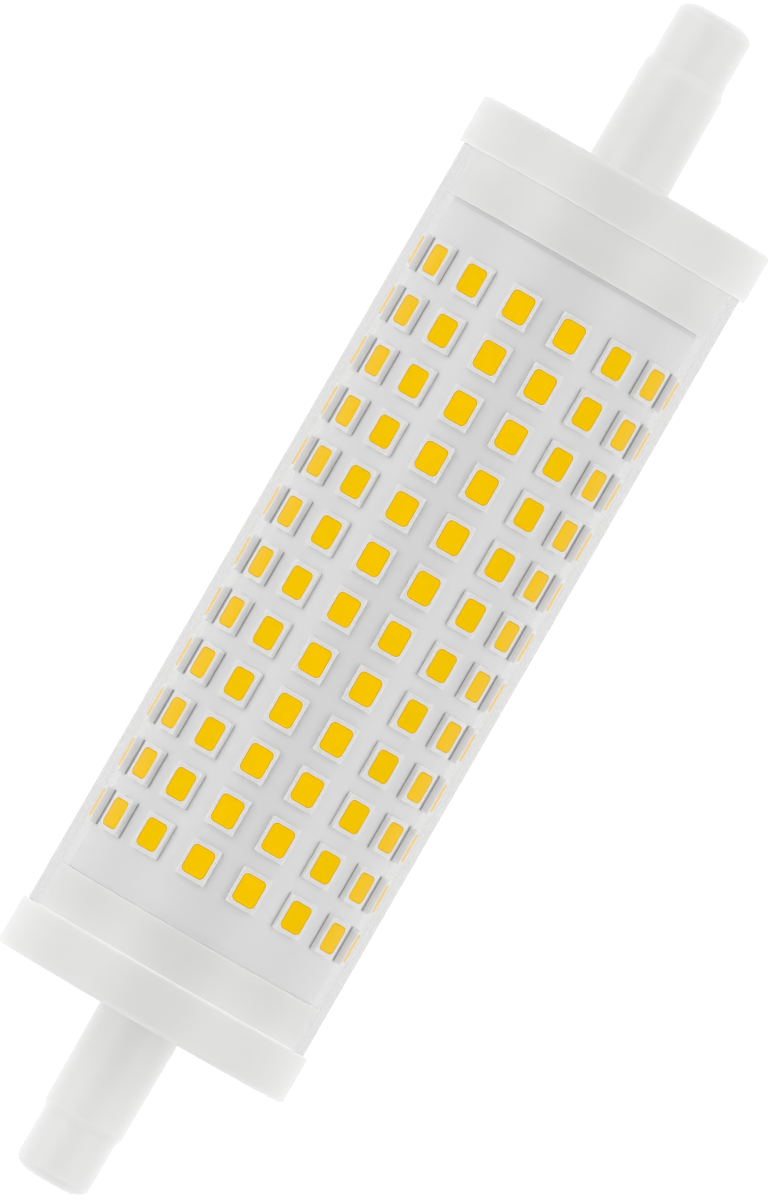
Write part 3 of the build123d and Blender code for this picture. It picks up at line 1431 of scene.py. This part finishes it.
@dataclass
class Studio:
    """White floor, soft light and the camera above."""

    frame: LampFrame
    sky: StudioSky
    floor_reach: float = 40.0
    floor_tone: float = 0.1
    floor_roughness: float = 0.9
    floor_glow: float = 1.01
    view_height: float = 105.03 * MM
    focus_height: float = 5.0 * MM
    aim: tuple[float, float] = (-0.03 * MM, -0.08 * MM)
    lens: float = 1000.0
    sensor: float = 36.0
    farthest_view: float = 100.0
    roll: float = math.radians(-60)

    def lay_floor(self) -> None:
        """Lays the floor under the rims."""
        graph = NodeGraph(bpy.data.materials.new("studio_white"))
        graph.set("Base Color", (*[self.floor_tone] * 3, 1.0))
        graph.set("Roughness", self.floor_roughness)
        graph.set("Specular IOR Level", 0.0)
        graph.set("Emission Color", WHITE)
        graph.set("Emission Strength", self.floor_glow)
        low = -self.frame.rim_radius
        signs = ((-1, -1), (1, -1), (1, 1), (-1, 1))
        corners = [(x * self.floor_reach, y * self.floor_reach, low) for x, y in signs]
        mesh = bpy.data.meshes.new("studio_floor")
        mesh.from_pydata(corners, [], [(0, 1, 2, 3)])
        mesh.materials.append(graph.material)
        floor = bpy.data.objects.new("studio_floor", mesh)
        bpy.context.scene.collection.objects.link(floor)

    def place_camera(self) -> None:
        """Hangs the camera over the lamp's front, rolled so that the lamp leans to the right."""
        camera = bpy.data.cameras.new("camera")
        camera.lens = self.lens
        camera.sensor_width = self.sensor
        camera.clip_end = self.farthest_view
        holder = bpy.data.objects.new("camera", camera)
        distance = self.view_height * self.lens / self.sensor
        holder.location = (*self.aim, self.focus_height + distance)
        holder.rotation_euler = (0, 0, self.roll)
        bpy.context.scene.collection.objects.link(holder)
        bpy.context.scene.camera = holder

    def build(self) -> None:
        """Sets up floor, light, camera and the way tones are shown."""
        self.lay_floor()
        self.sky.build()
        self.place_camera()
        view = bpy.context.scene.view_settings
        view.view_transform = "Standard"
        view.look = "None"
        bpy.context.scene.cycles.blur_glossy = 0.0


# The lamp's own finishes

CAP_WHITE = Finish(
    "cap_white",
    (0.782, 0.782, 0.777),
    0.38,
    gloss=0.8,
    grain_size=0.12 * MM,
    grain_depth=0.0005 * MM,
    mottle=0.01,
    softness=0.4 * MM,
)
# The skirt is the same moulding as the rim, painted lighter to make up for the grey of the clear
# tube over it.
SKIRT_PAINTED_LIGHTER = replace(CAP_WHITE, name="skirt_white_painted_lighter", colour=(0.81, 0.81, 0.805), gloss=0.55)
# The rims' inner walls glow as painted light, which lifts the shade that the rims would cast on the
# skirts.
RIM_WALL_PAINTED_GLOW = replace(CAP_WHITE, name="rim_wall_painted_glow", colour=(0.9, 0.9, 0.9), glow=0.25)
# The stub is the same moulding as the rim, painted lighter to make up for the shade that the cap
# puts on it.
STUB_PAINTED_LIGHTER = replace(CAP_WHITE, name="stub_white_painted_lighter", colour=(0.815, 0.815, 0.81), gloss=0.5)
BOARD_WHITE = Finish(
    "board_white",
    (0.80, 0.80, 0.80),
    0.38,
    gloss=0.85,
    grain_size=0.25 * MM,
    grain_depth=0.0005 * MM,
    mottle=0.01,
)
# The bare margin at the board's right end is bare board, darkened further as painted shade of the
# gap beside the skirt.
BOARD_BASE_AND_PAINTED_SHADE = replace(BOARD_WHITE, name="board_base_and_painted_shade", colour=(0.74, 0.74, 0.74))
HOUSING_WHITE = Finish(
    "housing_white",
    (0.80, 0.80, 0.80),
    0.5,
    gloss=0.2,
    grain_size=0.05 * MM,
    grain_depth=0.0005 * MM,
    mottle=0.01,
    softness=0.6 * MM,
)
# The cavity walls' cream is partly their own tone and partly painted bounce light from the phosphor,
# and they glow as painted light.
CAVITY_CREAM_PAINTED_GLOW = replace(
    HOUSING_WHITE, name="cavity_cream_painted_glow", colour=(0.94, 0.88, 0.72), glow=0.1, softness=0.0
)
# A dark strip round each housing's foot: the lead frame, and painted contact shade where the
# housings cast no shadow.
LEAD_GREY_AND_PAINTED_SHADE = Finish(
    "lead_grey_and_painted_shade", (0.36, 0.36, 0.37), 0.45, grain_size=0.05 * MM, grain_depth=0.0005 * MM
)
# The phosphor glows as painted light, though the lamp is off.
PHOSPHOR_YELLOW_PAINTED_GLOW = Finish(
    "phosphor_yellow_painted_glow",
    (0.9, 0.54, 0.0),
    0.5,
    gloss=0.0,
    grain_size=0.06 * MM,
    mottle=0.03,
    glow=0.22,
)
# A darker ring at the fill's edge: painted shade of the cavity wall, with the phosphor's painted
# glow.
PHOSPHOR_EDGE_PAINTED_SHADE = replace(PHOSPHOR_YELLOW_PAINTED_GLOW, name="phosphor_edge_painted_shade", colour=(0.5, 0.32, 0.01))
CLEAR_WALL = ClearFinish("clear_wall", (0.99, 0.99, 0.99), bending=1.25, glare=0.0, grey=150.0)
NICKEL = Finish("nickel_plate", (0.62, 0.60, 0.56), 0.3, metallic=1.0, grain_size=0.05 * MM)
ALUMINIUM = Finish(
    "drawn_aluminium", (0.72, 0.72, 0.74), 0.35, metallic=1.0, grain=Grain.DRAWN_ALONG
)
TINNED = Finish("tinned_strip", (0.60, 0.60, 0.61), 0.3, metallic=1.0, grain_size=0.08 * MM)
CARD = Finish("insulating_card", (0.74, 0.74, 0.68), 0.6, grain_size=0.1 * MM)
CIRCUIT = Finish("circuit_mask", (0.01, 0.09, 0.027), 0.35, grain_size=0.2 * MM, mottle=0.2)
BLACK = Finish("black_moulding", (0.012, 0.012, 0.012), 0.5, grain_size=0.05 * MM, mottle=0.2)
CERAMIC = Finish("fired_ceramic", (0.71, 0.67, 0.57), 0.6, grain_size=0.04 * MM)
VARISTOR_BLUE = Finish("varistor_blue", (0.010, 0.022, 0.084), 0.45, mottle=0.1)
FILM_RED = Finish("film_case_red", (0.52, 0.04, 0.013), 0.3, mottle=0.05)
SLEEVE_BLACK = Finish("capacitor_sleeve", (0.007, 0.008, 0.013), 0.3, mottle=0.2)
FERRITE = Finish("ground_ferrite", (0.017, 0.017, 0.019), 0.55, grain_size=0.03 * MM, mottle=0.2)
COPPER = WoundFinish("copper_winding", (0.48, 0.12, 0.027), 0.3, metallic=1.0)
WIRE_WHITE = Finish("wire_insulation", (0.71, 0.71, 0.67), 0.45)

INNER_FINISHES = {
    "core_tube": ALUMINIUM,
    "insulating_card": CARD,
    "driver_board": CIRCUIT,
    "input_fuse": CERAMIC,
    "varistor": VARISTOR_BLUE,
    "bridge_rectifier": BLACK,
    "film_capacitor": FILM_RED,
    "reservoir_capacitor": SLEEVE_BLACK,
    "choke_core": FERRITE,
    "choke_winding": COPPER,
    "driver_chip": BLACK,
    "freewheel_diode": BLACK,
    "sense_resistors": BLACK,
    "mains_lead_left": WIRE_WHITE,
    "mains_lead_right": WIRE_WHITE,
    "led_link_positive": TINNED,
    "led_link_negative": TINNED,
}


def main() -> None:
    """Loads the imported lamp, builds and dresses its pieces, and sets up the studio."""
    logging.basicConfig(level=logging.INFO, format="%(name)s: %(message)s")
    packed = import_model()
    frame = LampFrame.read()
    InnerParts(packed["nodes"], INNER_FINISHES).build()
    LedBoard(frame, BOARD_WHITE, BOARD_BASE_AND_PAINTED_SHADE).build()
    leds = (HOUSING_WHITE, CAVITY_CREAM_PAINTED_GLOW, LEAD_GREY_AND_PAINTED_SHADE, PHOSPHOR_YELLOW_PAINTED_GLOW, PHOSPHOR_EDGE_PAINTED_SHADE)
    LedArray(frame, *leds).build()
    EndCaps(frame, CAP_WHITE, SKIRT_PAINTED_LIGHTER, STUB_PAINTED_LIGHTER, RIM_WALL_PAINTED_GLOW).build()
    CoverTube(frame, CLEAR_WALL).build()
    Contacts(frame, NICKEL).build()
    Studio(frame, StudioSky()).build()


if __name__ == "__main__":
    main()
